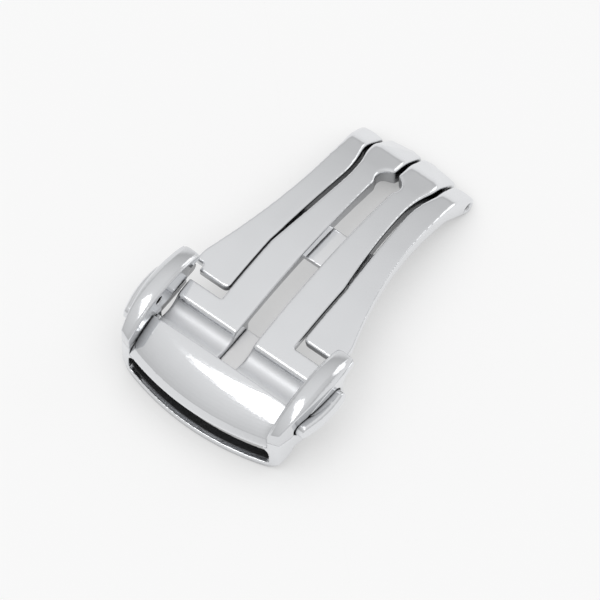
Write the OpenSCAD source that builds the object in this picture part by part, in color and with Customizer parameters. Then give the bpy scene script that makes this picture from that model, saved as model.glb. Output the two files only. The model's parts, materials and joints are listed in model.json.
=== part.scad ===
// Push-button folding clasp for a watch strap, closed, outer face up.
// X runs from the strap loop (-X) to the blade hinge (+X), Y across the strap, Z up.
// Z = 0 is the surface the closed clasp lies on.

/* [Overall] */
// Overall length of the closed clasp
overall_l = 40.5; // [39.5:0.1:42]
// Width of the strap that fits between the wings
strap_w = 18; // [17.6:0.2:19]
// Side gap between the strap and each wing
strap_clear = 0.1; // [0.1:0.05:0.3]

/* [Blades] */
// Height of the top of the arched blades above the table
blade_rise = 6.9; // [6.6:0.1:7.3]
// Radius of the arched top of the blades
blade_r = 60; // [56:1:70]
// Radius of the arched underside of the blades
under_r = 55; // [52:1:60]
// Thickness of the blades at the crown
blade_t = 1.4; // [1.2:0.05:1.6]
// How far the outer arms lie below the inner arms
outer_drop = 0.15; // [0:0.05:0.25]
// Width of the long slot between the inner arms
slot_w = 2.3; // [2:0.1:2.8]
// Radius of the round end of the long slot
pocket_r = 1.45; // [1.3:0.05:1.7]
// Half of the hairline slit between the inner arms at the hinge
slit_half = 0.07; // [0.05:0.01:0.12]
// Width of each inner arm beside the feet
arm_w = 3.65; // [3.4:0.05:3.9]
// How much narrower each inner arm is at its waist
waist_in = 1.08; // [0.8:0.02:1.3]
// Gap between the inner and the outer arms beside the feet
arm_gap = 0.2; // [0.15:0.05:0.3]
// Extra gap between the arms at the waist
waist_gap = 0.3; // [0.1:0.05:0.4]
// Half width across the outer arms at their waist
outer_waist = 7; // [6.7:0.1:7.4]
// Radius of the flare along the outer edge of the outer arms
flare_r = 50.7; // [46:0.1:58]
// Radius of the round corner at the near end of each outer arm
corner_r = 0.6; // [0.3:0.1:0.9]

/* [Blade hinge] */
// Radius of the hinge knuckles that join the blades
hinge_r = 1.15; // [1.05:0.05:1.3]
// Radius of the roll between the top of each arm and its sloping end
roll_r = 3; // [2.5:0.1:3.4]
// How far the nose of the inner arms stands out past the outer arms
nose_l = 0.7; // [0.5:0.05:0.9]
// Radius of the convex nose of the inner arms
nose_r = 19.5; // [16:0.5:24]
// Radius of the blade hinge pin
pin_r = 0.5; // [0.4:0.05:0.6]
// How far each end of the blade hinge pin is sunk
pin_sink = 0.4; // [0.2:0.1:0.8]
// Radial running clearance of the hinge pins
run_clear = 0.04; // [0.02:0.01:0.06]

/* [Bridge] */
// Distance from the hinge pin back to the waist of the arms
waist_back = 6.4; // [6:0.1:6.8]
// Distance from the waist of the arms back to the near edge of the bridge
bridge_back = 10.65; // [9.8:0.05:11.2]
// Length of the bridge under the inner arms, along the clasp
bridge_l = 4.9; // [4:0.1:5.6]
// Thickness of the bridge
bridge_t = 0.7; // [0.5:0.05:0.8]
// Width of the pad on each end of the bridge, under the outer arms
bridge_pad = 1.6; // [1.4:0.1:2]
// Gap between the bridge and the inner arms above it
bridge_gap = 0.2; // [0.15:0.05:0.3]

/* [Feet] */
// Length of each foot along the clasp, before the trough
foot_l = 2.4; // [2.2:0.1:2.8]
// Radius of the trough that clears the loop of the strap
trough_r = 1.9; // [1.8:0.05:2.1]
// Radius of the head hinge knuckles
knuckle_r = 1; // [0.9:0.05:1.1]
// Radius of the two head hinge pins
head_pin_r = 0.4; // [0.35:0.05:0.5]
// Length of each head hinge pin inside its foot
head_pin_l = 2.2; // [1.8:0.1:3]
// Gap between the outer end of a foot and the wing beside it
foot_gap = 0.15; // [0.15:0.05:0.2]
// Thickness of the cross plate that joins the feet
cross_t = 0.8; // [0.6:0.05:1]
// How far the cross plate reaches under each foot
cross_grip = 2; // [1.6:0.1:2.6]

/* [Head] */
// Distance from the front of the head to its hinge pins
head_front = 5.9; // [5.6:0.1:6.3]
// Height of the strap slot in the head
loop_h = 3.2; // [3:0.05:3.4]
// Thickness of the bar under the strap slot
bar_t = 0.9; // [0.8:0.05:1.1]
// Thickness of the front wall around the strap slot
wall_t = 1.5; // [1.3:0.1:1.8]
// Radius of the bowed front of the head, seen from above
front_r = 30; // [27:1:36]
// How far the front of the cover leans back
lean = 0.65; // [0.4:0.05:0.9]
// Height of the front crease of the cover
crease_z = 5; // [4.8:0.1:5.3]
// Height of the rear edge of the cover
cover_z = 7; // [6.9:0.1:7.2]
// Camber of the cover
camber = 0.4; // [0.2:0.05:0.6]
// Thickness of the cover
cover_t = 0.9; // [0.7:0.05:1]
// Half width across the head without its buttons
head_half = 11.6; // [11.5:0.05:11.7]
// Radius of the bowed sides of the head, seen from above
side_r = 31; // [28:1:34]
// Height of the top of the wings
wing_top = 9.6; // [9.4:0.1:10]
// Radius of the arched top of the wings, seen from the side
wing_r = 11.1; // [10.5:0.1:12]
// Width of the softly crowned top of each wing, without its rounded outer edge
crown_w = 1.7; // [1.5:0.05:1.9]
// Thickness of the rail outside each wing
rail_t = 0.5; // [0.4:0.05:0.6]
// Radius of the arched top of the rail
rail_r = 9.6; // [9.4:0.1:10]

/* [Spring bar holes] */
// Radius of the blind holes for the strap's spring bar
bar_hole_r = 0.5; // [0.4:0.05:0.6]
// Depth of those holes
bar_hole_l = 1; // [0.8:0.05:1.1]

/* [Buttons] */
// Length of each push button
button_l = 6.8; // [6:0.1:7]
// Height of each push button
button_h = 1.9; // [1.8:0.05:2.1]
// How far each button stands out from the side
button_out = 1.05; // [0.95:0.05:1.3]
// Radius of the rounded edge of each button
button_edge = 0.45; // [0.35:0.05:0.55]
// Radius of the bowed face of each button, seen from above
button_bow = 12.8; // [11:0.2:16]
// Travel of each button
button_travel = 0.45; // [0.35:0.05:0.45]
// Gap around each button in its pocket
button_gap = 0.12; // [0.08:0.02:0.16]
// Radius of each button stem
stem_r = 0.4; // [0.35:0.05:0.45]
// Thickness of each latch plate
latch_t = 0.4; // [0.35:0.05:0.4]
// How far each latch plate reaches below the middle of its button
latch_low = 1.5; // [1.3:0.05:1.6]
// Wire diameter of each button spring
wire_d = 0.22; // [0.18:0.02:0.24]
// Number of turns of each button spring
turns = 3; // [2:1:4]

/* [Hidden] */

steel = [0.80, 0.81, 0.83];
dark_steel = [0.62, 0.63, 0.66];
big_fn = 360;
round_fn = 72;
eps = 0.01;
tall = 1.25 * wing_top;
wide = 1.25 * head_half;

// Stations along the clasp
front_x = -overall_l / 2;
pin_x = overall_l / 2 - hinge_r - nose_l;
pin_z = hinge_r;
head_pin_x = front_x + head_front;
foot_near_x = head_pin_x + 3.4;
foot_far_x = foot_near_x + foot_l;
arm_end_x = foot_far_x + 1.3;
waist_x = pin_x - waist_back;
pocket_x = pin_x - 4.5;
flare_end_x = pin_x - 2.3;
crown_x = -0.65;
under_x = -2.65;
mouth_x = 0.15;
flare_x = waist_x - 0.15;
root_x = pin_x - 3.8;
bend_x = pin_x - 1.5;
slope_a = 48;

// Stations across the clasp
wall_y = strap_w / 2 + strap_clear;
foot_y = wall_y - foot_gap;
arm_y = slot_w / 2 + arm_w;
waist_y = arm_y - waist_in;
cheek_y = wall_y + 0.85;
floor_y = cheek_y + 0.45;

// Arch of the blades: height of the top and of the underside at x
function top_z(x) = blade_rise - blade_r + sqrt(blade_r * blade_r - pow(x - crown_x, 2));
function under_z(x) = blade_rise - blade_t - under_r + sqrt(under_r * under_r - pow(x - under_x, 2));
function steps(a, b, n) = [for (i = [0:n]) a + (b - a) * i / n];

// Heights of the feet and of the head hinge
foot_z = top_z(foot_near_x);
head_pin_z = foot_z - 1.72;
sole_z = head_pin_z - 0.4;
plate_z = head_pin_z + 0.25;
lip_z = head_pin_z + knuckle_r;
trough_x = head_pin_x + 1.85;
trough_z = head_pin_z + 0.65 + trough_r;
lip_r = 0.9;

// Outlines seen from above: outer edge of the inner arm, both edges of the outer arm
hinge_flare = 0.75;
function inner_edge(x) =
    x < mouth_x ? arm_y
    : x < waist_x ? waist_y + waist_in * pow((waist_x - x) / (waist_x - mouth_x), 1.5)
    : waist_y + hinge_flare * pow((min(x, flare_end_x) - waist_x) / (flare_end_x - waist_x), 2);
function gap_at(x) = arm_gap + waist_gap * max(0, 1 - pow((x - waist_x + 2) / 9, 2));
function outer_in_edge(x) = inner_edge(x) + gap_at(x);
function outer_edge(x) = outer_waist + pow(x - flare_x, 2) / (2 * flare_r);

// Dome of the cover: circle through its rear edge and its crease, on the centre line
cover_x = head_pin_x - 0.2;
crease_x = front_x + lean;
chord_x = cover_x - crease_x;
chord_z = cover_z - crease_z;
chord = sqrt(chord_x * chord_x + chord_z * chord_z);
dome_r = (chord * chord / 4 + camber * camber) / (2 * camber);
dome_x = (cover_x + crease_x) / 2 + chord_z / chord * (dome_r - camber);
dome_z = (cover_z + crease_z) / 2 - chord_x / chord * (dome_r - camber);
function dome(x) = dome_z + sqrt(dome_r * dome_r - pow(x - dome_x, 2));
function rail_arc(x) = rail_top - rail_r + sqrt(rail_r * rail_r - pow(x - rail_x, 2));
function swing(x) = front_x + front_r - x;

// Head seen from the side
side_x = head_pin_x + 4.4;
crest_x = head_pin_x + 2.6;
tip_x = arm_end_x + 0.7;
column_x = head_pin_x - 1.4;
cheek_x = foot_far_x - 0.3;
seat_z = head_pin_z + 1.1;
cheek_z = 3;
slot_top = bar_t + loop_h;
slot_end_y = wall_y + 0.2;
slot_droop_w = 1.2;
slot_droop_h = 1.7;
loop_corner_y = wall_y - 0.8;
loop_corner_w = 2.6;
gap_x = head_pin_x - 0.1;
wing_z = head_pin_z + knuckle_r + 1.08;
tip_z = wing_z + 1.15;
rail_x = crest_x + 2.2;
rail_top = wing_top - 1.1;
bar_hole_x = head_pin_x + 0.8;
bar_hole_z = wing_top - 1.3;

// Button, stem and latch
button_x = head_pin_x + 1.45;
button_z = head_pin_z + 1.7;
cap_in_y = floor_y + button_travel + 0.05;
cap_out_y = head_half + button_out;
cap_floor_y = cap_out_y - 0.75;
hollow_r = button_h / 2 - 0.2;
stem_x = head_pin_x + 2.3;
latch_y = cheek_y - 0.03;
latch_near_x = stem_x - 0.8;
latch_neck_x = foot_far_x + 0.1;
latch_end_x = arm_end_x + 0.45;
notch_x = arm_end_x + 0.85;
notch_y = latch_y - latch_t - button_travel - 0.25;

// Cylinder along Y from y1 to y2
module y_cyl(r, x, z, y1, y2, fn = round_fn) {
    translate([x, y2, z])
        rotate([90, 0, 0])
            cylinder(h = y2 - y1, r = r, $fn = fn);
}

// Block between two corners
module block(a, b) {
    translate(a)
        cube(b - a);
}

// Outline in the X-Z plane, made thick from y1 to y2
module side_plate(points, y1, y2) {
    translate([0, y2, 0])
        rotate([90, 0, 0])
            linear_extrude(height = y2 - y1)
                polygon(points);
}

// Solid under the arched top of the blades and above their underside
module arch(drop, x1, x2, y1, y2) {
    difference() {
        intersection() {
            y_cyl(blade_r, crown_x, blade_rise - blade_r - drop, y1, y2, big_fn);
            block([x1, y1, 0], [x2, y2, tall]);
        }
        y_cyl(under_r, under_x, blade_rise - blade_t - under_r, y1 - 1, y2 + 1, big_fn);
    }
}

// Sloping end of a blade arm with its hinge knuckle; nose moves the slope outwards
module hinge_end(drop, nose, y1, y2) {
    end_x = pin_x + nose;
    slope_x = end_x + hinge_r * sin(slope_a);
    slope_z = pin_z + hinge_r * cos(slope_a);
    // Where the slope meets the arched top, and the roll that joins them
    edge_x = bend_x + nose;
    edge_z = top_z(edge_x) - drop;
    top_a = asin((edge_x - crown_x) / blade_r);
    fall_a = atan2(edge_z - slope_z, slope_x - edge_x);
    reach = roll_r * tan((fall_a - top_a) / 2);
    centre_x = edge_x - reach * cos(top_a) - roll_r * sin(top_a);
    centre_z = edge_z + reach * sin(top_a) - roll_r * cos(top_a);
    roll = [for (a = steps(top_a, fall_a, 14)) [centre_x + roll_r * sin(a), centre_z + roll_r * cos(a)]];
    side_plate(concat([[root_x, under_z(root_x)], [root_x, top_z(root_x) - drop]], roll,
        [[slope_x, slope_z], [end_x, pin_z], [end_x, 0], [pin_x, 0],
        [pin_x - hinge_r * 0.7, pin_z - hinge_r * 0.7]]), y1, y2);
    y_cyl(hinge_r, pin_x, pin_z, y1, y2);
    y_cyl(hinge_r, end_x, pin_z, y1, y2);
}

// Convex space that rounds the slope of the inner arms from side to side
module nose_space() {
    reach = pin_x + nose_l + hinge_r * sin(slope_a);
    height = pin_z + hinge_r * cos(slope_a);
    back = nose_r + 0.01;
    translate([reach, 0, height])
        rotate([0, -(90 - slope_a), 0])
            translate([-back, 0, -overall_l])
                cylinder(h = 2 * overall_l, r = nose_r, $fn = big_fn);
}

// Outline of the left inner arm seen from above
module inner_plan() {
    end_x = overall_l / 2 + 1;
    edge = [for (x = steps(foot_near_x + 4, pin_x, 40)) [x, inner_edge(x)]];
    polygon(concat([[foot_near_x, arm_y]], edge, [[end_x, inner_edge(pin_x)], [end_x, slit_half],
        [pocket_x + pocket_r - 0.1, slit_half * 3], [pocket_x, slit_half * 3],
        [pocket_x, slot_w / 2], [foot_near_x, slot_w / 2]]));
}

// Outline of the left outer arm seen from above
module outer_plan() {
    end_x = pin_x + 2 * hinge_r;
    start = arm_end_x + corner_r;
    xs = steps(start, pin_x, 40);
    corner_y = outer_in_edge(arm_end_x) + corner_r;
    corner = [for (a = steps(0, 90, 6)) [start - corner_r * cos(a), corner_y - corner_r * sin(a)]];
    outside = [for (i = [40:-1:3]) [xs[i], outer_edge(xs[i])]];
    polygon(concat(corner, [for (x = xs) [x + eps, outer_in_edge(x)]],
        [[end_x, outer_in_edge(pin_x)], [end_x, outer_edge(pin_x)]], outside,
        [[notch_x, outer_edge(notch_x) - 0.35], [arm_end_x, outer_edge(notch_x) - corner_r]]));
}

module outer_left_arm() {
    color(steel)
        difference() {
            intersection() {
                union() {
                    arch(outer_drop, arm_end_x, root_x + eps, 0, wide);
                    hinge_end(outer_drop, 0, 0, wide);
                }
                linear_extrude(height = tall)
                    outer_plan();
            }
            y_cyl(pin_r, pin_x, pin_z, 0, wide);
            // Corner notch that takes the latch nose
            block([arm_end_x - corner_r, notch_y, 0], [notch_x, wide, tall]);
        }
}

module outer_right_arm() {
    mirror([0, 1, 0])
        outer_left_arm();
}

// Curved bar under the inner arms that joins the outer arms
module blade_bridge() {
    x1 = waist_x - bridge_back;
    x2 = x1 + bridge_l;
    top_r = under_r - bridge_gap;
    centre_z = blade_rise - blade_t - under_r;
    pad_in = outer_in_edge(x1) + 0.15;
    pad_out = pad_in + bridge_pad;
    color(steel)
        intersection() {
            block([x1, -pad_out, 0], [x2, pad_out, tall]);
            difference() {
                union() {
                    y_cyl(top_r, under_x, centre_z, -pad_out, pad_out, big_fn);
                    for (side = [-1, 1])
                        scale([1, side, 1])
                            y_cyl(under_r, under_x, centre_z, pad_in, pad_out, big_fn);
                }
                y_cyl(top_r - bridge_t, under_x, centre_z, -pad_out - 1, pad_out + 1, big_fn);
            }
        }
}

module blade_hinge_pin() {
    half = outer_edge(pin_x) - pin_sink;
    color(dark_steel)
        y_cyl(pin_r, pin_x, pin_z, -half, half);
}

// Foot of the inner blade: step, trough for the strap loop, lip and head hinge knuckle
module foot() {
    inner = slot_w / 2;
    corner_x = head_pin_x + lip_r - 0.7;
    difference() {
        union() {
            intersection() {
                y_cyl(blade_r, crown_x, blade_rise - blade_r, inner, foot_y, big_fn);
                block([trough_x, inner, sole_z], [foot_far_x, foot_y, tall]);
            }
            block([corner_x, inner, sole_z], [trough_x + eps, foot_y, lip_z]);
            block([head_pin_x, inner + lip_r, sole_z], [trough_x, foot_y, lip_z]);
            y_cyl(knuckle_r, head_pin_x, head_pin_z, inner + lip_r, foot_y);
            translate([corner_x, inner + lip_r, sole_z])
                cylinder(h = lip_z - sole_z, r = lip_r, $fn = round_fn);
        }
        y_cyl(trough_r, trough_x, trough_z, 0, wide);
        y_cyl(head_pin_r + run_clear, head_pin_x, head_pin_z, foot_y - head_pin_l - 0.2, wide);
    }
}

module inner_left_arm() {
    color(steel) {
        difference() {
            intersection() {
                union() {
                    arch(0, foot_near_x + eps, root_x + eps, 0, wide);
                    hinge_end(0, nose_l, 0, wide);
                }
                linear_extrude(height = tall)
                    inner_plan();
                nose_space();
            }
            y_cyl(pin_r + run_clear, pin_x, pin_z, -1, wide);
            y_cyl(trough_r, trough_x, trough_z, -1, wide);
            translate([pocket_x, 0, 0])
                cylinder(h = tall, r = pocket_r, $fn = round_fn);
        }
        foot();
    }
}

module inner_right_arm() {
    mirror([0, 1, 0])
        inner_left_arm();
}

// Plate under the feet that joins the two inner arms
module cross_plate() {
    near_x = head_pin_x + knuckle_r + 0.3;
    far_x = foot_far_x - 0.4;
    out_y = slot_w / 2 + cross_grip;
    color(dark_steel) {
        block([near_x, -out_y, sole_z - cross_t], [far_x, out_y, sole_z]);
        block([head_pin_x - 0.6 * knuckle_r, -slot_w / 2, sole_z - eps], [far_x, slot_w / 2, plate_z]);
    }
}

// Space of the head seen from above
module head_prism(z1, z2) {
    height = z2 - z1;
    intersection() {
        translate([front_x + front_r, 0, z1])
            cylinder(h = height, r = front_r, $fn = big_fn);
        translate([side_x, head_half - side_r, z1])
            cylinder(h = height, r = side_r, $fn = big_fn);
        translate([side_x, side_r - head_half, z1])
            cylinder(h = height, r = side_r, $fn = big_fn);
    }
}

// Solid swept around the front of the head from an outline in its centre plane
module front_sweep(points) {
    translate([front_x + front_r, 0, 0])
        rotate_extrude($fn = big_fn)
            polygon(points);
}

// Arched space of the left wing and its rail, with a crowned top
module crest() {
    round_r = 0.25;
    crown = 0.12;
    edge_y = wall_y + crown_w;
    side_y = head_half + 0.1;
    inner = [for (a = steps(0, 90, 5))
        [wing_r - crown - round_r * (1 - sin(a)), wall_y + round_r * (1 - cos(a))]];
    top = [for (y = steps(wall_y + 0.4, edge_y, 8))
        [wing_r - crown * pow((y - wall_y - crown_w / 2 - 0.2) / (crown_w / 2 + 0.2), 2), y]];
    outer = [for (a = steps(15, 90, 6))
        [wing_r - crown - 1.3 * (1 - cos(a)), edge_y + (side_y - edge_y) * sin(a)]];
    translate([crest_x, 0, wing_top - wing_r])
        rotate([-90, 0, 0])
            rotate_extrude($fn = big_fn)
                polygon(concat([[0.5, wall_y]], inner, top, outer, [[wing_r / 2, side_y], [0.5, side_y]]));
}

// Space above the seat of the left wing, with the overhanging tip
module wing_space() {
    ramp_x = head_pin_x - 0.7;
    side_plate([[front_x - 1, seat_z], [column_x, seat_z], [ramp_x, wing_z], [cheek_x, wing_z],
        [cheek_x + 0.5, tip_z - 0.15], [cheek_x + 0.9, tip_z], [tip_x - 0.6, tip_z + 0.1],
        [tip_x - 0.15, tip_z + 0.35], [tip_x, tip_z + 0.8], [tip_x - 0.1, tall], [front_x - 1, tall]],
        wall_y, wide);
}

// Space of the rail outside the left wing
module rail_space() {
    difference() {
        y_cyl(rail_r, rail_x, rail_top - rail_r, wall_y, wide, big_fn);
        translate([side_x, head_half - side_r, 0])
            cylinder(h = tall, r = side_r - rail_t, $fn = big_fn);
    }
}

// Quarter of an ellipse in the Y-Z plane, from its lowest or highest point outwards
function quarter(y, z, half_y, half_z, n) =
    [for (a = steps(0, 90, n)) [y + half_y * sin(a), z + half_z * cos(a)]];
function mirrored(points) = [for (i = [len(points) - 1:-1:0]) [-points[i][0], points[i][1]]];

// Outline across the clasp, made long along X through the strap loop
module loop_plate(points, x1, x2) {
    translate([x1, 0, 0])
        rotate([90, 0, 90])
            linear_extrude(height = x2 - x1)
                polygon(concat(points, mirrored(points)));
}

// Space inside the rounded lower corners of the strap loop
module loop_space() {
    corner = quarter(loop_corner_y, cheek_z, loop_corner_w, -cheek_z, 12);
    loop_plate(concat(corner, [[wide, cheek_z], [wide, tall]]), front_x - 1, tip_x + 1);
}

// Strap slot with drooping upper corners and tight lower ones
module strap_slot() {
    low_r = 0.5;
    low_y = slot_end_y - low_r;
    waist_z = slot_top - slot_droop_h;
    upper = quarter(slot_end_y - slot_droop_w, waist_z, slot_droop_w, slot_droop_h, 10);
    lower = [for (a = steps(0, 90, 4)) [low_y + low_r * cos(a), bar_t + low_r * (1 - sin(a))]];
    loop_plate(concat(upper, lower), front_x - 1, column_x - 0.6);
}

// Left side of the head frame: column beside the strap slot, cheek and rail
module frame_side() {
    difference() {
        union() {
            intersection() {
                head_prism(0, tall);
                side_plate([[front_x - 1, 0], [column_x - 1.6, 0], [column_x - 0.6, cheek_z],
                    [cheek_x, cheek_z], [cheek_x, wing_z], [head_pin_x - 0.7, wing_z],
                    [column_x, seat_z], [front_x - 1, seat_z]], wall_y, wide);
                loop_space();
            }
            intersection() {
                head_prism(0, tall);
                crest();
                wing_space();
                rail_space();
            }
        }
        strap_slot();
        // Narrow gap between the rail and the wing
        side_plate([[gap_x + 1.3, rail_arc(gap_x + 1.3) + 0.1], [gap_x, rail_arc(gap_x) - 0.25],
            [gap_x - 1.3, rail_arc(gap_x - 1.3) + 0.1], [gap_x, rail_arc(gap_x) + 0.4]], cheek_y, wide);
        // Room for the latch plate
        block([latch_near_x - 0.3, wall_y - 1, 0], [cheek_x + 1, cheek_y, wing_z]);
        // Pocket for the button
        stadium(button_l + 2 * button_gap, button_h + 2 * button_gap, floor_y, wide);
        y_cyl(stem_r + run_clear, stem_x, button_z, cheek_y - 1, wide);
        y_cyl(head_pin_r, head_pin_x, head_pin_z, wall_y - 1, floor_y - 0.2);
    }
}

// Long round-ended block along X, from y1 to y2
module stadium(length, height, y1, y2) {
    r = height / 2;
    half = length / 2 - r;
    y_cyl(r, button_x - half, button_z, y1, y2);
    y_cyl(r, button_x + half, button_z, y1, y2);
    block([button_x - half, y1, button_z - r], [button_x + half, y2, button_z + r]);
}

// Space behind the bowed face of the left button, with rounded long edges
module bowed_face() {
    half = button_h / 2;
    bow_x = button_x + 1.1;
    corner = [for (a = steps(0, 90, 6))
        [button_bow - button_edge * (1 - cos(a)), half - button_edge * (1 - sin(a))]];
    low_corner = [for (i = [len(corner) - 1:-1:0]) [corner[i][0], -corner[i][1]]];
    translate([bow_x, cap_out_y - button_bow, button_z])
        rotate_extrude($fn = big_fn)
            polygon(concat([[0.5, -half]], low_corner, corner, [[0.5, half]]));
}

module head_frame() {
    inner = front_r - wall_t;
    edge = 0.3;
    fill_y = slot_end_y - slot_droop_w + 0.35;
    round_edge = [for (a = steps(0, 90, 6)) [front_r - edge * (1 - sin(a)), edge * (1 - cos(a))]];
    color(steel) {
        difference() {
            intersection() {
                front_sweep(concat([[inner, 0]], round_edge, [[front_r, slot_top], [inner, slot_top]]));
                block([front_x - wall_t, -wall_y - eps, 0], [head_pin_x, wall_y + eps, slot_top]);
                loop_space();
            }
            strap_slot();
            block([front_x - wall_t, -fill_y, bar_t], [head_pin_x, fill_y, tall]);
        }
        frame_side();
        mirror([0, 1, 0])
            frame_side();
    }
}

module cover() {
    inner = front_r - wall_t;
    inner_x = front_x + wall_t;
    top = [for (x = steps(cover_x + 2, crease_x, 20)) [swing(x), dome(x)]];
    below = [for (x = steps(inner_x, cover_x + 2, 16)) [swing(x), dome(x) - cover_t]];
    lug = 0.6;
    color(steel)
        for (side = [-1, 1])
            scale([1, side, 1])
                difference() {
                    block([cover_x - 0.2, wall_y - lug, lip_z + 0.15], [cover_x + lug, wall_y, lip_z + 0.95]);
                    y_cyl(lug / 4, cover_x + lug / 2, lip_z + 0.55, wall_y - lug - 1, wall_y - lug / 2);
                }
    color(steel)
        intersection() {
            front_sweep(concat(top, [[front_r, slot_top + 0.15], [front_r - 0.15, slot_top],
                [inner, slot_top]], below));
            block([front_x - 1, -wall_y, 0], [cover_x, wall_y, tall]);
        }
}

module left_wing() {
    color(steel)
        difference() {
            intersection() {
                head_prism(0, tall);
                crest();
                wing_space();
            }
            rail_space();
            // Clearance for the upper front of the button
            stadium(button_l + 2 * button_gap, button_h + 2 * button_gap, floor_y, wide);
            y_cyl(bar_hole_r, bar_hole_x, bar_hole_z, wall_y - 1, wall_y + bar_hole_l);
        }
}

module right_wing() {
    mirror([0, 1, 0])
        left_wing();
}

module left_head_pin() {
    color(dark_steel)
        y_cyl(head_pin_r, head_pin_x, head_pin_z, foot_y - head_pin_l, floor_y - 0.2);
}

module right_head_pin() {
    mirror([0, 1, 0])
        left_head_pin();
}

module left_button_cap() {
    color(steel)
        difference() {
            intersection() {
                stadium(button_l, button_h, cap_in_y, cap_out_y + 0.1);
                bowed_face();
            }
            y_cyl(hollow_r, stem_x, button_z, 0, cap_floor_y);
        }
}

module right_button_cap() {
    mirror([0, 1, 0])
        left_button_cap();
}

module left_button_stem() {
    color(dark_steel)
        y_cyl(stem_r, stem_x, button_z, latch_y, cap_floor_y);
}

module right_button_stem() {
    mirror([0, 1, 0])
        left_button_stem();
}

// Plate behind the cheek with a round-ended nose over the corner of the outer arm
module left_latch() {
    nose_h = 1.3;
    nose_z = wing_z - 0.4;
    color(dark_steel) {
        block([latch_near_x, latch_y - latch_t, button_z - latch_low], [latch_neck_x, latch_y, wing_z - 0.25]);
        block([latch_neck_x - eps, latch_y - latch_t, nose_z - nose_h / 2],
            [latch_end_x - nose_h / 2, latch_y, nose_z + nose_h / 2]);
        y_cyl(nose_h / 2, latch_end_x - nose_h / 2, nose_z, latch_y - latch_t, latch_y);
    }
}

module right_latch() {
    mirror([0, 1, 0])
        left_latch();
}

// One point of the spring wire, turned along the coil
module wire_end(angle) {
    coil_r = stem_r + 0.07 + wire_d / 2;
    free_l = cap_floor_y - floor_y - wire_d;
    along = angle / (360 * turns) * free_l;
    translate([stem_x + coil_r * cos(angle), floor_y + wire_d / 2 + along, button_z + coil_r * sin(angle)])
        sphere(d = wire_d, $fn = 8);
}

module left_button_spring() {
    step = 24;
    color(dark_steel)
        for (a = [0:step:360 * turns - step])
            hull() {
                wire_end(a);
                wire_end(a + step);
            }
}

module right_button_spring() {
    mirror([0, 1, 0])
        left_button_spring();
}

outer_left_arm();
outer_right_arm();
blade_bridge();
blade_hinge_pin();
inner_left_arm();
inner_right_arm();
cross_plate();
head_frame();
cover();
left_wing();
right_wing();
left_head_pin();
right_head_pin();
left_button_cap();
right_button_cap();
left_button_stem();
right_button_stem();
left_latch();
right_latch();
left_button_spring();
right_button_spring();
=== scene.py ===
import bpy
import bmesh
import json
import math
from mathutils import Euler, Matrix, Vector
from mathutils.bvhtree import BVHTree
from mathutils.interpolate import poly_3d_calc
from mathutils.kdtree import KDTree


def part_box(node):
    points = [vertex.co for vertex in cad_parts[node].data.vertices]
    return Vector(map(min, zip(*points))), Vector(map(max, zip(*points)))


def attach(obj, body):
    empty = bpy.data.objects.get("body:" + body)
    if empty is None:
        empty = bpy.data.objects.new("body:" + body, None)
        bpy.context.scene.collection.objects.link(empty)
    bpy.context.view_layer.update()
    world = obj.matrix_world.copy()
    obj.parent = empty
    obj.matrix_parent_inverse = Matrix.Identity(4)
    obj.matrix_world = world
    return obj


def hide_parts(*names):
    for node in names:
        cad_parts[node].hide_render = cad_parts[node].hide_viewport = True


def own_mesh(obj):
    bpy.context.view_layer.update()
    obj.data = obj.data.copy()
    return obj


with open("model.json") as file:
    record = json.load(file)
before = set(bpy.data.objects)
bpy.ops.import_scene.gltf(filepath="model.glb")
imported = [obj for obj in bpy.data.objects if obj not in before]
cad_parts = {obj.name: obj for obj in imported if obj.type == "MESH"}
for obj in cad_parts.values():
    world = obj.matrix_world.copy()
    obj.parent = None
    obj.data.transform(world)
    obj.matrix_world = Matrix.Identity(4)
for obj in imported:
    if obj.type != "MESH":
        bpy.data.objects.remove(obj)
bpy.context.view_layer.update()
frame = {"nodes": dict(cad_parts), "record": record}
mm = 0.001

cameraView = {
    "target": (-2.176, -0.676, 3.0),   # mm, lands in the middle of the picture
    "right": (0.6115, -0.7913, 0.0),
    "up": (0.6920, 0.5350, 0.4848),
    "distance": 0.9,                   # m
    "widthAtTarget": 63.16,            # mm across the picture
    "sensor": 36,                      # mm
    "clips": (0.01, 20),               # m
}


def turnFromAxes(right, up, back):
    return Matrix((right, up, back)).transposed().to_4x4()


def addCamera(view):
    right = Vector(view["right"]).normalized()
    up = Vector(view["up"]).normalized()
    back = right.cross(up).normalized()
    up = back.cross(right)
    data = bpy.data.cameras.new("clasp camera")
    data.sensor_width = view["sensor"]
    data.lens = view["sensor"] * view["distance"] / (view["widthAtTarget"] * mm)
    data.clip_start, data.clip_end = view["clips"]
    camera = bpy.data.objects.new("clasp camera", data)
    bpy.context.scene.collection.objects.link(camera)
    place = Vector(view["target"]) * mm + back * view["distance"]
    camera.matrix_world = Matrix.Translation(place) @ turnFromAxes(right, up, back)
    bpy.context.scene.camera = camera


addCamera(cameraView)
print("camera placed")

# The real pieces have polished, rolled edges. Each visible node is rebuilt with them: fine voxels
# are laid back on its surface, and those near a sharp edge are smoothed.
rolling = {
    "sharpTurn": 28,                   # degrees between two faces that meet at a sharp edge
    "pointStep": 0.05,                 # mm between the points that stand for a sharp edge
    "weld": 0.001,                     # mm
    "factor": 0.5,                     # share of the way to its neighbours that a corner goes each round
    "margin": 0.05,                    # mm past the roll that is still shaded by the mesh itself
    "voxelTurn": (0.52, 0.37, 0.61),   # radians; the voxels lie askew, so that no edge runs along them
}
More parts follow.
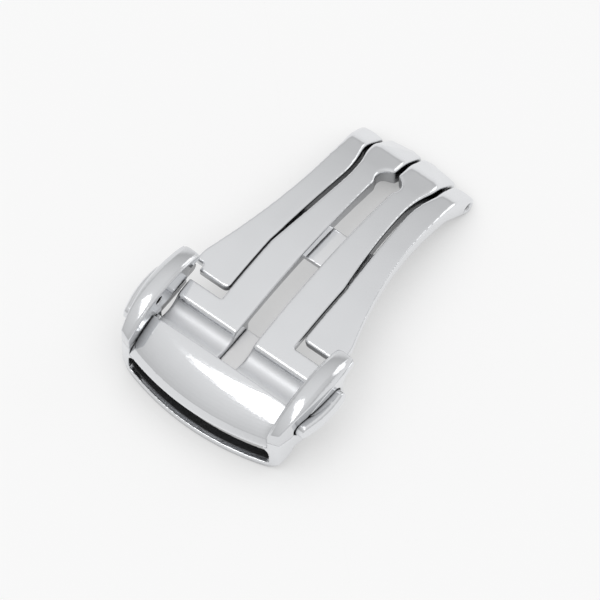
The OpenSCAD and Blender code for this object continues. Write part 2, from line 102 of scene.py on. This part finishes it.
# voxel and reach are in mm, passes are rounds of smoothing, and keep is the share of the faces left
bladeEdges = {
    "nodes": ["outer_left_arm", "outer_right_arm", "inner_left_arm", "inner_right_arm"],
    "voxel": 0.10, "reach": 0.42, "passes": 14, "keep": 0.45,
    # the far ends are rolled further: it sets in between these two stations, in mm along the clasp
    "nose": {"from": 13.2, "to": 16.8, "reach": 0.95, "passes": 50},
}
frameEdges = {
    "nodes": ["head_frame"],
    "voxel": 0.10, "reach": 0.30, "passes": 5, "keep": 0.35,
}
coverEdges = {
    "nodes": ["cover"],
    "voxel": 0.08, "reach": 0.28, "passes": 6, "keep": 0.30,
}
wingEdges = {
    "nodes": ["left_wing", "right_wing"],
    "voxel": 0.08, "reach": 0.30, "passes": 7, "keep": 0.35,
}
buttonEdges = {
    "nodes": ["left_button_cap", "right_button_cap"],
    "voxel": 0.08, "reach": 0.25, "passes": 5, "keep": 0.4,
}
latchEdges = {
    "nodes": ["left_latch", "right_latch"],
    "voxel": 0.06, "reach": 0.15, "passes": 4, "keep": 0.4,
}
plateEdges = {
    "nodes": ["blade_bridge", "cross_plate"],
    "voxel": 0.10, "reach": 0.25, "passes": 5, "keep": 0.25,
}
voxelTurn = Euler(rolling["voxelTurn"]).to_matrix().to_4x4()


def edgePoints(shape):
    points = []
    for edge in shape.edges:
        if len(edge.link_faces) == 2 and edge.calc_face_angle(0) > math.radians(rolling["sharpTurn"]):
            start, end = (corner.co for corner in edge.verts)
            count = max(1, math.ceil((end - start).length / (rolling["pointStep"] * mm)))
            points += [start.lerp(end, i / count) for i in range(count + 1)]
    tree = KDTree(len(points))
    for i, point in enumerate(points):
        tree.insert(point, i)
    tree.balance()
    return tree


def withModifier(piece, kind, **values):
    modifier = piece.modifiers.new(kind.lower(), kind)
    for key, value in values.items():
        setattr(modifier, key, value)
    mesh = bpy.data.meshes.new_from_object(piece.evaluated_get(bpy.context.evaluated_depsgraph_get()))
    piece.modifiers.clear()
    piece.data = mesh


def onNose(place, size):
    return "nose" in size and place.x > size["nose"]["from"] * mm


def smoothOnce(work, corners):
    bmesh.ops.smooth_vert(work, verts=corners, factor=rolling["factor"],
                          use_axis_x=True, use_axis_y=True, use_axis_z=True)


def smoothNose(work, corners, nose):
    # more and more rounds towards the far end, so that no step shows where the wider roll begins
    for i in range(nose["passes"]):
        limit = (nose["from"] + (nose["to"] - nose["from"]) * i / nose["passes"]) * mm
        smoothOnce(work, [corner for corner in corners if corner.co.x > limit])


def layAndSmooth(piece, surface, edges, size):
    work = bmesh.new()
    work.from_mesh(piece.data)
    soft = []
    noseSoft = []
    for corner in work.verts:
        corner.co = surface.find_nearest(corner.co)[0]
        distance = edges.find(corner.co)[2]
        if distance < size["reach"] * mm:
            soft.append(corner)
        if onNose(corner.co, size) and distance < size["nose"]["reach"] * mm:
            noseSoft.append(corner)
    if "nose" in size:
        smoothNose(work, noseSoft, size["nose"])
    for _ in range(size["passes"]):
        smoothOnce(work, soft)
    work.to_mesh(piece.data)
    work.free()


def steelNormals(piece, source, edges, size):
    # open faces keep the exact normals of the solid, and a zero normal leaves the rolled edges their own
    source.calc_loop_triangles()
    triangles = [tuple(part.vertices) for part in source.loop_triangles]
    loops = [tuple(part.loops) for part in source.loop_triangles]
    places = [corner.co for corner in source.vertices]
    surface = BVHTree.FromPolygons(places, triangles)
    normals = []
    for vertex in piece.data.vertices:
        reach = size["nose"]["reach"] if onNose(vertex.co, size) else size["reach"]
        if edges.find(vertex.co)[2] < (reach + rolling["margin"]) * mm:
            normals.append((0, 0, 0))
            continue
        at, _, index, _ = surface.find_nearest(vertex.co)
        weights = poly_3d_calc([places[k] for k in triangles[index]], at)
        normal = Vector((0, 0, 0))
        for weight, loop in zip(weights, loops[index]):
            normal += source.corner_normals[loop].vector * weight
        normals.append(normal.normalized())
    for face in piece.data.polygons:
        face.use_smooth = True
    piece.data.normals_split_custom_set_from_vertices(normals)


def rollEdges(node, size):
    source = frame["nodes"][node].data
    shape = bmesh.new()
    shape.from_mesh(source)
    bmesh.ops.remove_doubles(shape, verts=shape.verts, dist=rolling["weld"] * mm)
    edges = edgePoints(shape)
    surface = BVHTree.FromBMesh(shape)
    shape.free()
    piece = bpy.data.objects.new(node + "_rolled", source.copy())
    bpy.context.scene.collection.objects.link(piece)
    piece.data.transform(voxelTurn)
    withModifier(piece, "REMESH", mode="VOXEL", voxel_size=size["voxel"] * mm)
    piece.data.transform(voxelTurn.inverted())
    layAndSmooth(piece, surface, edges, size)
    withModifier(piece, "DECIMATE", ratio=size["keep"])
    steelNormals(piece, source, edges, size)
    return piece


bodyOf = {node: body for body, nodes in frame["record"]["behaviour"]["bodies"].items() for node in nodes}
slotOf = {entry["node"]: entry["material_slot"] for entry in frame["record"]["subparts"]}
dressed = {}


def putInPlace(piece, node):
    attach(piece, bodyOf[node])
    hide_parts(node)
    dressed[node] = piece


for size in (bladeEdges, frameEdges, coverEdges, wingEdges, buttonEdges, latchEdges, plateEdges):
    for node in size["nodes"]:
        putInPlace(rollEdges(node, size), node)
print("edges rolled on", len(dressed), "pieces")

# Coil under each button cap, between the cap and the floor of the pocket.
buttonSpring = {"wire": 0.22, "turns": 3, "sides": 10, "stepsPerTurn": 36}   # wire in mm


def coilCorners(size, centre, pocketY, capY, radius):
    # one ring of corners around the wire at each step of the helix
    side = math.copysign(1, capY - pocketY)
    wireRadius = size["wire"] * mm / 2
    count = size["turns"] * size["stepsPerTurn"]
    climb = (abs(capY - pocketY) - 2 * wireRadius) / count
    lead = Vector((0, side * climb * size["stepsPerTurn"] / math.tau, 0))
    corners = []
    for i in range(count + 1):
        angle = math.tau * i / size["stepsPerTurn"]
        outward = Vector((math.cos(angle), 0, math.sin(angle)))
        forward = (Vector((-math.sin(angle), 0, math.cos(angle))) * radius + lead).normalized()
        aside = forward.cross(outward)
        heart = Vector((centre.x, pocketY + side * (wireRadius + climb * i), centre.z)) + outward * radius
        for k in range(size["sides"]):
            turn = math.tau * k / size["sides"]
            corners.append(heart + (outward * math.cos(turn) + aside * math.sin(turn)) * wireRadius)
    return corners


def coilFaces(sides, count):
    # a cap at each end of the wire, and a band of faces from each ring to the next
    faces = [tuple(range(sides)), tuple(count * sides + k for k in reversed(range(sides)))]
    for i in range(count):
        near, far = i * sides, (i + 1) * sides
        for k in range(sides):
            faces.append((near + k, far + k, far + (k + 1) % sides, near + (k + 1) % sides))
    return faces


def coilSpring(node, size):
    low, high = (Vector(corner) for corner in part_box(node))
    pocketY, capY = (low.y, high.y) if high.y > 0 else (high.y, low.y)
    radius = (high.x - low.x) / 2 - size["wire"] * mm / 2
    corners = coilCorners(size, (low + high) / 2, pocketY, capY, radius)
    faces = coilFaces(size["sides"], size["turns"] * size["stepsPerTurn"])
    mesh = bpy.data.meshes.new(node + "_coil")
    mesh.from_pydata([tuple(corner) for corner in corners], [], faces)
    shape = bmesh.new()
    shape.from_mesh(mesh)
    bmesh.ops.recalc_face_normals(shape, faces=shape.faces)
    shape.to_mesh(mesh)
    shape.free()
    for face in mesh.polygons:
        face.use_smooth = True
    coil = bpy.data.objects.new(node + "_coil", mesh)
    bpy.context.scene.collection.objects.link(coil)
    putInPlace(coil, node)
    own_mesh(coil)


for hand in ("left", "right"):
    coilSpring(hand + "_button_spring", buttonSpring)
print("button springs wound")

# what every finish shares
steelGrain = {
    "hazeScale": 220, "hazeDetail": 4,     # slow changes of polish over the surface
    "hazeTint": 0.93,                      # share of the tint that is left where the haze is full
    "openFrom": 0.12, "openTo": 0.78,      # openness at which the painted corner shade is deepest, and at which a face is left unshaded
    "lineScale": (900, 16000, 9000), "lineDetail": 2,   # fine polishing lines along the clasp
    "lineDepth": 0.0001,                   # m
    "cornerShadeSamples": 8, "edgeSamples": 6,
}
# edge is the radius of the shaded edge and reach how far the painted corner shade goes, both in mm; the
# darkest tone of that shade is given with them
polishedSteel = {
    "tint": (0.80, 0.81, 0.828), "rough": 0.10, "roughSpread": 0.05,
    "edge": 0.15, "scratch": 0.010, "cornerShadeTone": 0.16, "reach": 2.2,
}
# the trough under the strap loop is only satin finished, up to a station in mm along the clasp
bladeSteel = {
    "tint": (0.80, 0.81, 0.828), "rough": 0.12, "roughSpread": 0.05,
    "edge": 0.15, "scratch": 0.012, "cornerShadeTone": 0.16, "reach": 1.1,
    "trough": {"rough": 0.32, "end": -10.9, "fade": 0.25},
}
# the wings are tinted darker than the rest of the polished steel: painted shade, for the darker tone they
# show in the light
wingSteelDarkened = {**polishedSteel, "tint": (0.735, 0.745, 0.762)}
# inside the strap loop the frame is satin rough, and its colour is darkened there as painted shade; sizes and
# heights in mm, the radius is that of its bowed front
loopSteel = {
    **polishedSteel,
    "loop": {"frontRadius": 30.0, "rim": 0.45, "rimFade": 0.2, "halfWidth": 9.35,
             "from": 0.80, "to": 4.2, "fade": 0.1, "tone": 0.07, "rough": 0.40},
}
bridgeSteel = {
    "tint": (0.90, 0.905, 0.92), "rough": 0.20, "roughSpread": 0.06,
    "edge": 0.08, "scratch": 0.02, "cornerShadeTone": 0.6, "reach": 0.3,
}
satinSteel = {
    "tint": (0.80, 0.80, 0.805), "rough": 0.36, "roughSpread": 0.08,
    "edge": 0.08, "scratch": 0.03, "cornerShadeTone": 0.55, "reach": 0.8,
}
turnedSteel = {
    "tint": (0.66, 0.66, 0.67), "rough": 0.20, "roughSpread": 0.05,
    "edge": 0.05, "scratch": 0.02, "cornerShadeTone": 0.35, "reach": 1.0,
}
springWire = {
    "tint": (0.55, 0.55, 0.57), "rough": 0.25, "roughSpread": 0.05,
    "edge": 0.0, "scratch": 0.02, "cornerShadeTone": 0.4, "reach": 0.8,
}


def addNode(tree, kind, inputs, **settings):
    # an input that is given another node's output is linked to it
    node = tree.nodes.new(kind)
    for key, value in settings.items():
        setattr(node, key, value)
    for key, value in inputs.items():
        if isinstance(value, bpy.types.NodeSocket):
            tree.links.new(value, node.inputs[key])
        else:
            node.inputs[key].default_value = value
    return node


def mathOf(tree, operation, *values):
    return addNode(tree, "ShaderNodeMath", dict(enumerate(values)), operation=operation).outputs[0]


def rangeOf(tree, value, ends):
    return addNode(tree, "ShaderNodeMapRange", {"Value": value, **ends}).outputs["Result"]


def stepOf(tree, value, low, high):
    # 0 at low and 1 at high, both in mm
    return rangeOf(tree, value, {"From Min": low * mm, "From Max": high * mm})


def colourMix(tree, share, first, second, blend="MIX"):
    mix = addNode(tree, "ShaderNodeMix", {"Factor": share, "A": first, "B": second},
                  data_type="RGBA", blend_type=blend)
    return mix.outputs["Result"]


def insideLoop(tree, place, loop):
    # 1 on the faces inside the strap loop: behind the bowed front, between the columns, above the lower bar
    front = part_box("head_frame")[0][0]
    centred = addNode(tree, "ShaderNodeVectorMath", {0: place, 1: (front + loop["frontRadius"] * mm, 0, 0)},
                      operation="SUBTRACT")
    flat = addNode(tree, "ShaderNodeVectorMath", {0: centred.outputs[0], 1: (1, 1, 0)}, operation="MULTIPLY")
    radius = addNode(tree, "ShaderNodeVectorMath", {0: flat.outputs[0]}, operation="LENGTH")
    axes = addNode(tree, "ShaderNodeSeparateXYZ", {0: place})
    across = mathOf(tree, "ABSOLUTE", axes.outputs["Y"])
    rim = loop["frontRadius"] - loop["rim"]
    inside = stepOf(tree, radius.outputs["Value"], rim, rim - loop["rimFade"])
    for share in (stepOf(tree, across, loop["halfWidth"], loop["halfWidth"] - loop["fade"]),
                  stepOf(tree, axes.outputs["Z"], loop["from"] - loop["fade"], loop["from"]),
                  stepOf(tree, axes.outputs["Z"], loop["to"], loop["to"] - loop["fade"])):
        inside = mathOf(tree, "MULTIPLY", inside, share)
    return inside


# narrow gaps and corners are darkened by how open they are: painted shade in the colour, not a finish
def steelColour(tree, haze, look):
    # narrow gaps and corners stay duller than the open faces
    hazed = [part * steelGrain["hazeTint"] for part in look["tint"]]
    tint = colourMix(tree, haze, (*look["tint"], 1), (*hazed, 1))
    # painted shade: an occlusion node darkens the tint in gaps and corners
    cornerOpenness = addNode(tree, "ShaderNodeAmbientOcclusion", {"Distance": look["reach"] * mm},
                  samples=steelGrain["cornerShadeSamples"])
    cornerShade = rangeOf(tree, cornerOpenness.outputs["AO"], {"From Min": steelGrain["openFrom"],
                                             "From Max": steelGrain["openTo"], "To Min": look["cornerShadeTone"]})
    return colourMix(tree, 1, tint, cornerShade, "MULTIPLY")


def steelNormal(tree, place, look):
    # fine polishing lines, over softly rounded edges
    stretch = addNode(tree, "ShaderNodeMapping", {"Vector": place, "Scale": steelGrain["lineScale"]})
    lines = addNode(tree, "ShaderNodeTexNoise", {"Vector": stretch.outputs["Vector"], "Scale": 1,
                                                 "Detail": steelGrain["lineDetail"]})
    bump = addNode(tree, "ShaderNodeBump", {"Height": lines.outputs["Fac"], "Strength": look["scratch"],
                                            "Distance": steelGrain["lineDepth"]})
    if look["edge"] > 0:
        rounded = addNode(tree, "ShaderNodeBevel", {"Radius": look["edge"] * mm},
                          samples=steelGrain["edgeSamples"])
        tree.links.new(rounded.outputs["Normal"], bump.inputs["Normal"])
    return bump.outputs["Normal"]


def makeSteel(name, look):
    material = bpy.data.materials.new(name)
    material.use_nodes = True
    tree = material.node_tree
    tree.nodes.clear()
    place = addNode(tree, "ShaderNodeTexCoord", {}).outputs["Object"]
    haze = addNode(tree, "ShaderNodeTexNoise", {"Vector": place, "Scale": steelGrain["hazeScale"],
                                                "Detail": steelGrain["hazeDetail"]}).outputs["Fac"]
    rough = rangeOf(tree, haze, {"To Min": look["rough"] - look["roughSpread"] / 2,
                                 "To Max": look["rough"] + look["roughSpread"]})
    colour = steelColour(tree, haze, look)
    if "trough" in look:
        trough = look["trough"]
        along = addNode(tree, "ShaderNodeSeparateXYZ", {0: place}).outputs["X"]
        satin = rangeOf(tree, along, {"From Min": trough["end"] * mm,
                                      "From Max": (trough["end"] - trough["fade"]) * mm,
                                      "To Max": trough["rough"]})
        rough = mathOf(tree, "ADD", rough, satin)
    if "loop" in look:
        loop = look["loop"]
        inside = insideLoop(tree, place, loop)
        rough = mathOf(tree, "MULTIPLY_ADD", inside, loop["rough"], rough)
        # painted shade: the colour inside the loop is multiplied down to the loop's tone
        colour = colourMix(tree, inside, colour, (*[loop["tone"]] * 3, 1), "MULTIPLY")
    steel = addNode(tree, "ShaderNodeBsdfPrincipled", {
        "Metallic": 1.0, "Base Color": colour, "Roughness": rough, "Normal": steelNormal(tree, place, look)})
    addNode(tree, "ShaderNodeOutputMaterial", {"Surface": steel.outputs["BSDF"]})
    return material


finishes = {
    "polished_steel": makeSteel("polished steel", polishedSteel),
    "satin_steel": makeSteel("satin steel", satinSteel),
    "plain_steel": makeSteel("turned steel", turnedSteel),
    "spring_steel": makeSteel("spring wire", springWire),
}
ownFinish = {
    "inner_left_arm": makeSteel("left blade steel", bladeSteel),
    "inner_right_arm": makeSteel("right blade steel", bladeSteel),
    "head_frame": makeSteel("loop steel", loopSteel),
    "blade_bridge": makeSteel("bridge steel", bridgeSteel),
    "left_wing": makeSteel("left wing steel", wingSteelDarkened),
    "right_wing": makeSteel("right wing steel", wingSteelDarkened),
}
for name, solid in frame["nodes"].items():
    piece = dressed.get(name, solid)
    finish = ownFinish.get(name, finishes[slotOf[name]])
    if not piece.material_slots:
        piece.data.materials.append(finish)
    for slot in piece.material_slots:
        slot.material = finish
print("finishes made")

studio = {
    "floorSize": 6.0,        # m
    "floorDrop": 0.00002,    # m under the clasp
    "floorTone": 0.95,
    "floorRough": 0.9,
    "floorShine": 0.1,
    "paperShare": 0.33,      # how much of the paper's own shading is seen
    "shadeReach": 0.012,     # m
    "shadeSamples": 24,
    # painted shadow on the paper, by its openness to the sky: openness, tone as the camera sees it, and as
    # the steel mirrors it
    "seenShade": [(0.0, 0.05), (0.07, 0.42), (0.16, 0.62), (0.90, 1.0)],
    "mirroredShade": [(0.0, 0.03), (0.12, 0.10), (0.34, 0.38), (0.60, 0.90), (0.80, 1.0)],
    # height of the direction, tone
    "sky": [(0.0, 0.95), (0.27, 0.86), (0.38, 0.54), (0.60, 0.68), (0.90, 0.86), (1.0, 0.90)],
    "seenTone": 1.0,
    # places and sizes in m
    "lamps": [
        {"name": "top box", "at": (-0.252, 0.090, 0.85), "along": (0.70, 0.72, 0),
         "size": (0.49, 0.20), "tone": 2.4},
        {"name": "side box", "at": (0.75, -0.30, 0.45), "along": (0.37, 0.93, 0),
         "size": (0.50, 0.30), "tone": 0.9},
    ],
}


def toneRamp(tree, value, stops):
    ramp = addNode(tree, "ShaderNodeValToRGB", {"Fac": value})
    steps = ramp.color_ramp.elements
    while len(steps) < len(stops):
        steps.new(0.5)   # moved to its place below
    for step, (place, tone) in zip(steps, stops):
        step.position = place
        step.color = (tone, tone, tone, 1)
    return ramp.outputs["Color"]


def anyRay(tree, path, kinds):
    # 1 for a ray of any of these kinds
    share = path.outputs[kinds[0]]
    for kind in kinds[1:]:
        share = mathOf(tree, "MAXIMUM", share, path.outputs[kind])
    return share


def paperMaterial(setup):
    # the camera and the steel see the paper as a pale glow, with painted shadow where it is sheltered, and a
    # share of its own soft shadows
    paper = bpy.data.materials.new("floor paper")
    paper.use_nodes = True
    tree = paper.node_tree
    sheet = tree.nodes["Principled BSDF"]
    sheet.inputs["Base Color"].default_value = (*[setup["floorTone"]] * 3, 1)
    sheet.inputs["Roughness"].default_value = setup["floorRough"]
    sheet.inputs["Specular IOR Level"].default_value = setup["floorShine"]
    path = addNode(tree, "ShaderNodeLightPath", {})
    shelter = addNode(tree, "ShaderNodeAmbientOcclusion", {"Distance": setup["shadeReach"]},
                      samples=setup["shadeSamples"]).outputs["AO"]
    # painted shadow: the glow's tone falls with the paper's openness to the sky
    tone = colourMix(tree, path.outputs["Is Camera Ray"], toneRamp(tree, shelter, setup["mirroredShade"]),
                     toneRamp(tree, shelter, setup["seenShade"]))
    glow = addNode(tree, "ShaderNodeEmission", {"Color": tone})
    seen = anyRay(tree, path, ("Is Camera Ray", "Is Glossy Ray", "Is Transmission Ray"))
    share = mathOf(tree, "MULTIPLY", seen, 1 - setup["paperShare"])
    mixed = addNode(tree, "ShaderNodeMixShader", {0: share, 1: sheet.outputs[0], 2: glow.outputs[0]})
    tree.links.new(mixed.outputs[0], tree.nodes["Material Output"].inputs["Surface"])
    return paper


def addFloor(setup):
    half = setup["floorSize"] / 2
    corners = [(-half, -half, 0), (half, -half, 0), (half, half, 0), (-half, half, 0)]
    mesh = bpy.data.meshes.new("floor")
    mesh.from_pydata(corners, [], [(0, 1, 2, 3)])
    mesh.materials.append(paperMaterial(setup))
    floor = bpy.data.objects.new("floor", mesh)
    floor.location.z = -setup["floorDrop"]
    bpy.context.scene.collection.objects.link(floor)


def addWorld(setup):
    # the steel mirrors the graded sky, and the camera sees a plain one
    world = bpy.data.worlds.new("studio")
    world.use_nodes = True
    tree = world.node_tree
    tree.nodes.clear()
    direction = addNode(tree, "ShaderNodeTexCoord", {}).outputs["Generated"]
    height = addNode(tree, "ShaderNodeSeparateXYZ", {0: direction}).outputs["Z"]
    light = addNode(tree, "ShaderNodeBackground", {"Color": toneRamp(tree, height, setup["sky"])})
    plain = addNode(tree, "ShaderNodeBackground", {"Color": (*[setup["seenTone"]] * 3, 1)})
    path = addNode(tree, "ShaderNodeLightPath", {})
    seen = anyRay(tree, path, ("Is Camera Ray", "Is Transmission Ray"))
    mixed = addNode(tree, "ShaderNodeMixShader", {0: seen, 1: light.outputs[0], 2: plain.outputs[0]})
    addNode(tree, "ShaderNodeOutputWorld", {"Surface": mixed.outputs[0]})
    bpy.context.scene.world = world


def addLamps(setup):
    for entry in setup["lamps"]:
        data = bpy.data.lights.new(entry["name"], "AREA")
        data.shape = "RECTANGLE"
        data.size, data.size_y = entry["size"]
        data.energy = entry["tone"] * math.pi * data.size * data.size_y
        lamp = bpy.data.objects.new(entry["name"], data)
        back = Vector(entry["at"]).normalized()
        side = Vector(entry["along"])
        side = (side - back * side.dot(back)).normalized()
        lamp.matrix_world = Matrix.Translation(entry["at"]) @ turnFromAxes(side, back.cross(side), back)
        bpy.context.scene.collection.objects.link(lamp)


addFloor(studio)
addWorld(studio)
addLamps(studio)
bpy.context.scene.view_settings.view_transform = "Standard"
print("studio lit")
